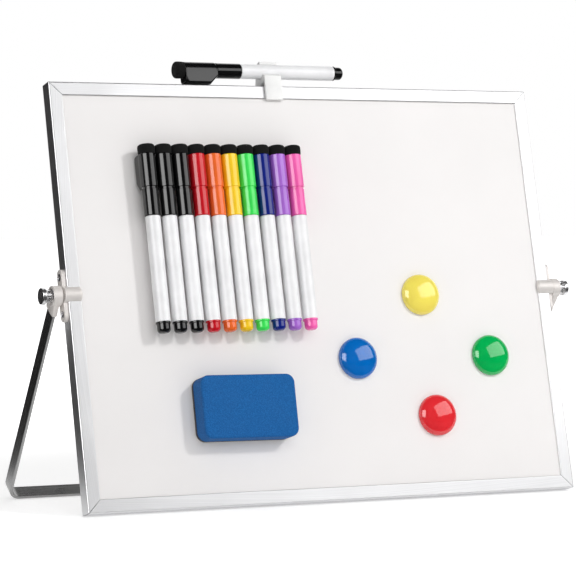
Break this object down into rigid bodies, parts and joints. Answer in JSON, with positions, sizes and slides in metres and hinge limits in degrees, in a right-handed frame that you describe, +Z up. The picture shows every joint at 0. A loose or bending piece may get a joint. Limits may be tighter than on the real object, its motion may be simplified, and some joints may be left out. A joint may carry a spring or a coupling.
{
  "type": "magnetic desk whiteboard easel",
  "caption": "Double-sided magnetic dry-wipe board in an aluminium frame on a folding steel desk stand, with pen clip, capped markers, round magnets and a foam eraser.",
  "frame": {"origin": "on the desk, under the middle of the whole easel", "axes": "+X to the right along the board, +Y back through the board to the stand's foot, +Z up from the desk; the board's writing face looks along -Y and leans back"},
  "size_m": [0.3884, 0.1358, 0.2901],
  "materials": {
    "writing_steel": "gloss white dry-wipe coating",
    "core_board": "plain board",
    "frame_metal": "satin anodised, drawn along its length",
    "key_plastic": "moulded",
    "hinge_plastic": "moulded, satin",
    "screw_steel": "zinc plated",
    "insert_brass": "turned",
    "stand_steel": "brushed along its length",
    "knob_chrome": "bright plated",
    "washer_steel": "plain",
    "clip_plastic": "moulded white",
    "yellow_gloss": "gloss moulded",
    "blue_gloss": "gloss moulded",
    "green_gloss": "gloss moulded",
    "red_gloss": "gloss moulded",
    "eraser_foam": "fine closed-cell foam",
    "eraser_felt": "pressed felt",
    "ferrite": "sintered",
    "barrel_white": "gloss moulded",
    "marker_black": "gloss moulded",
    "marker_red": "gloss moulded",
    "marker_orange": "gloss moulded",
    "marker_yellow": "gloss moulded",
    "marker_green": "gloss moulded",
    "marker_blue": "gloss moulded",
    "marker_purple": "gloss moulded",
    "marker_pink": "gloss moulded"
  },
  "bodies": {
    "board": {"writing_sheet_front": "writing_steel", "writing_sheet_back": "writing_steel", "core_panel": "core_board", "frame_top": "frame_metal", "frame_bottom": "frame_metal", "frame_left": "frame_metal", "frame_right": "frame_metal", "corner_keys": "key_plastic", "hinge_bracket_left": "hinge_plastic", "hinge_bracket_right": "hinge_plastic", "bracket_screws": "screw_steel", "thread_inserts": "insert_brass"},
    "stand": {"stand_leg": "stand_steel", "leg_hub_left": "hinge_plastic", "leg_hub_right": "hinge_plastic"},
    "washer_left": {"lock_washer_left": "washer_steel"},
    "washer_right": {"lock_washer_right": "washer_steel"},
    "knob_left": {"clamp_knob_left": "knob_chrome"},
    "knob_right": {"clamp_knob_right": "knob_chrome"},
    "clip": {"pen_clip": "clip_plastic"},
    "magnet_yellow": {"magnet_yellow": "yellow_gloss"},
    "magnet_blue": {"magnet_blue": "blue_gloss"},
    "magnet_green": {"magnet_green": "green_gloss"},
    "magnet_red": {"magnet_red": "red_gloss"},
    "eraser": {"eraser_foam": "eraser_foam", "eraser_felt": "eraser_felt", "eraser_magnet": "ferrite"},
    "marker_black_1": {"marker_black_1_barrel": "barrel_white", "marker_black_1_core": "marker_black"},
    "marker_black_1_cap": {"marker_black_1_cap": "marker_black"},
    "marker_black_2": {"marker_black_2_barrel": "barrel_white", "marker_black_2_core": "marker_black"},
    "marker_black_2_cap": {"marker_black_2_cap": "marker_black"},
    "marker_black_3": {"marker_black_3_barrel": "barrel_white", "marker_black_3_core": "marker_black"},
    "marker_black_3_cap": {"marker_black_3_cap": "marker_black"},
    "marker_red": {"marker_red_barrel": "barrel_white", "marker_red_core": "marker_red"},
    "marker_red_cap": {"marker_red_cap": "marker_red"},
    "marker_orange": {"marker_orange_barrel": "barrel_white", "marker_orange_core": "marker_orange"},
    "marker_orange_cap": {"marker_orange_cap": "marker_orange"},
    "marker_yellow": {"marker_yellow_barrel": "barrel_white", "marker_yellow_core": "marker_yellow"},
    "marker_yellow_cap": {"marker_yellow_cap": "marker_yellow"},
    "marker_green": {"marker_green_barrel": "barrel_white", "marker_green_core": "marker_green"},
    "marker_green_cap": {"marker_green_cap": "marker_green"},
    "marker_blue": {"marker_blue_barrel": "barrel_white", "marker_blue_core": "marker_blue"},
    "marker_blue_cap": {"marker_blue_cap": "marker_blue"},
    "marker_purple": {"marker_purple_barrel": "barrel_white", "marker_purple_core": "marker_purple"},
    "marker_purple_cap": {"marker_purple_cap": "marker_purple"},
    "marker_pink": {"marker_pink_barrel": "barrel_white", "marker_pink_core": "marker_pink"},
    "marker_pink_cap": {"marker_pink_cap": "marker_pink"},
    "clip_marker": {"clip_marker_barrel": "barrel_white", "clip_marker_core": "marker_black"},
    "clip_marker_cap": {"clip_marker_cap": "marker_black"}
  },
  "joints": [
    {"name": "stand_fold", "type": "hinge", "parent": "board", "child": "stand", "pos_m": [0, -0.02449, 0.1369], "axis": [1, 0, 0], "continuous": true},
    {"name": "washer_left_slide", "type": "slide", "parent": "board", "child": "washer_left", "axis": [-1, 0, 0], "range_m": [0, 0.0016]},
    {"name": "knob_left_turn", "type": "hinge", "parent": "washer_left", "child": "knob_left", "pos_m": [-0.1778, -0.02449, 0.1369], "axis": [-1, 0, 0], "range_deg": [0, 720]},
    {"name": "washer_right_slide", "type": "slide", "parent": "board", "child": "washer_right", "axis": [1, 0, 0], "range_m": [0, 0.0016]},
    {"name": "knob_right_turn", "type": "hinge", "parent": "washer_right", "child": "knob_right", "pos_m": [0.1778, -0.02449, 0.1369], "axis": [1, 0, 0], "range_deg": [0, 720]},
    {"name": "clip_slide", "type": "slide", "parent": "board", "child": "clip", "axis": [1, 0, 0], "range_m": [-0.132, 0.168]},
    {"name": "clip_marker_out", "type": "slide", "parent": "clip", "child": "clip_marker", "axis": [-1, 0, 0], "range_m": [0, 0.06]},
    {"name": "clip_marker_uncap", "type": "slide", "parent": "clip_marker", "child": "clip_marker_cap", "axis": [-1, 0, 0], "range_m": [0, 0.026]},
    {"name": "marker_black_1_lift", "type": "slide", "parent": "board", "child": "marker_black_1", "axis": [0, -0.9711, 0.2385], "range_m": [0, 0.04]},
    {"name": "marker_black_1_uncap", "type": "slide", "parent": "marker_black_1", "child": "marker_black_1_cap", "axis": [0, 0.2385, 0.9711], "range_m": [0, 0.026]},
    {"name": "marker_black_2_lift", "type": "slide", "parent": "board", "child": "marker_black_2", "axis": [0, -0.9711, 0.2385], "range_m": [0, 0.04]},
    {"name": "marker_black_2_uncap", "type": "slide", "parent": "marker_black_2", "child": "marker_black_2_cap", "axis": [0, 0.2385, 0.9711], "range_m": [0, 0.026]},
    {"name": "marker_black_3_lift", "type": "slide", "parent": "board", "child": "marker_black_3", "axis": [0, -0.9711, 0.2385], "range_m": [0, 0.04]},
    {"name": "marker_black_3_uncap", "type": "slide", "parent": "marker_black_3", "child": "marker_black_3_cap", "axis": [0, 0.2385, 0.9711], "range_m": [0, 0.026]},
    {"name": "marker_red_lift", "type": "slide", "parent": "board", "child": "marker_red", "axis": [0, -0.9711, 0.2385], "range_m": [0, 0.04]},
    {"name": "marker_red_uncap", "type": "slide", "parent": "marker_red", "child": "marker_red_cap", "axis": [0, 0.2385, 0.9711], "range_m": [0, 0.026]},
    {"name": "marker_orange_lift", "type": "slide", "parent": "board", "child": "marker_orange", "axis": [0, -0.9711, 0.2385], "range_m": [0, 0.04]},
    {"name": "marker_orange_uncap", "type": "slide", "parent": "marker_orange", "child": "marker_orange_cap", "axis": [0, 0.2385, 0.9711], "range_m": [0, 0.026]},
    {"name": "marker_yellow_lift", "type": "slide", "parent": "board", "child": "marker_yellow", "axis": [0, -0.9711, 0.2385], "range_m": [0, 0.04]},
    {"name": "marker_yellow_uncap", "type": "slide", "parent": "marker_yellow", "child": "marker_yellow_cap", "axis": [0, 0.2385, 0.9711], "range_m": [0, 0.026]},
    {"name": "marker_green_lift", "type": "slide", "parent": "board", "child": "marker_green", "axis": [0, -0.9711, 0.2385], "range_m": [0, 0.04]},
    {"name": "marker_green_uncap", "type": "slide", "parent": "marker_green", "child": "marker_green_cap", "axis": [0, 0.2385, 0.9711], "range_m": [0, 0.026]},
    {"name": "marker_blue_lift", "type": "slide", "parent": "board", "child": "marker_blue", "axis": [0, -0.9711, 0.2385], "range_m": [0, 0.04]},
    {"name": "marker_blue_uncap", "type": "slide", "parent": "marker_blue", "child": "marker_blue_cap", "axis": [0, 0.2385, 0.9711], "range_m": [0, 0.026]},
    {"name": "marker_purple_lift", "type": "slide", "parent": "board", "child": "marker_purple", "axis": [0, -0.9711, 0.2385], "range_m": [0, 0.04]},
    {"name": "marker_purple_uncap", "type": "slide", "parent": "marker_purple", "child": "marker_purple_cap", "axis": [0, 0.2385, 0.9711], "range_m": [0, 0.026]},
    {"name": "marker_pink_lift", "type": "slide", "parent": "board", "child": "marker_pink", "axis": [0, -0.9711, 0.2385], "range_m": [0, 0.04]},
    {"name": "marker_pink_uncap", "type": "slide", "parent": "marker_pink", "child": "marker_pink_cap", "axis": [0, 0.2385, 0.9711], "range_m": [0, 0.026]},
    {"name": "magnet_yellow_lift", "type": "slide", "parent": "board", "child": "magnet_yellow", "axis": [0, -0.9711, 0.2385], "range_m": [0, 0.04]},
    {"name": "magnet_blue_lift", "type": "slide", "parent": "board", "child": "magnet_blue", "axis": [0, -0.9711, 0.2385], "range_m": [0, 0.04]},
    {"name": "magnet_green_lift", "type": "slide", "parent": "board", "child": "magnet_green", "axis": [0, -0.9711, 0.2385], "range_m": [0, 0.04]},
    {"name": "magnet_red_lift", "type": "slide", "parent": "board", "child": "magnet_red", "axis": [0, -0.9711, 0.2385], "range_m": [0, 0.04]},
    {"name": "eraser_lift", "type": "slide", "parent": "board", "child": "eraser", "axis": [0, -0.9711, 0.2385], "range_m": [0, 0.04]}
  ],
  "couplings": [
    {"joint": "knob_left_turn", "follows": "washer_left_slide", "rad_per_m": 7853.9},
    {"joint": "knob_right_turn", "follows": "washer_right_slide", "rad_per_m": 7853.9}
  ]
}
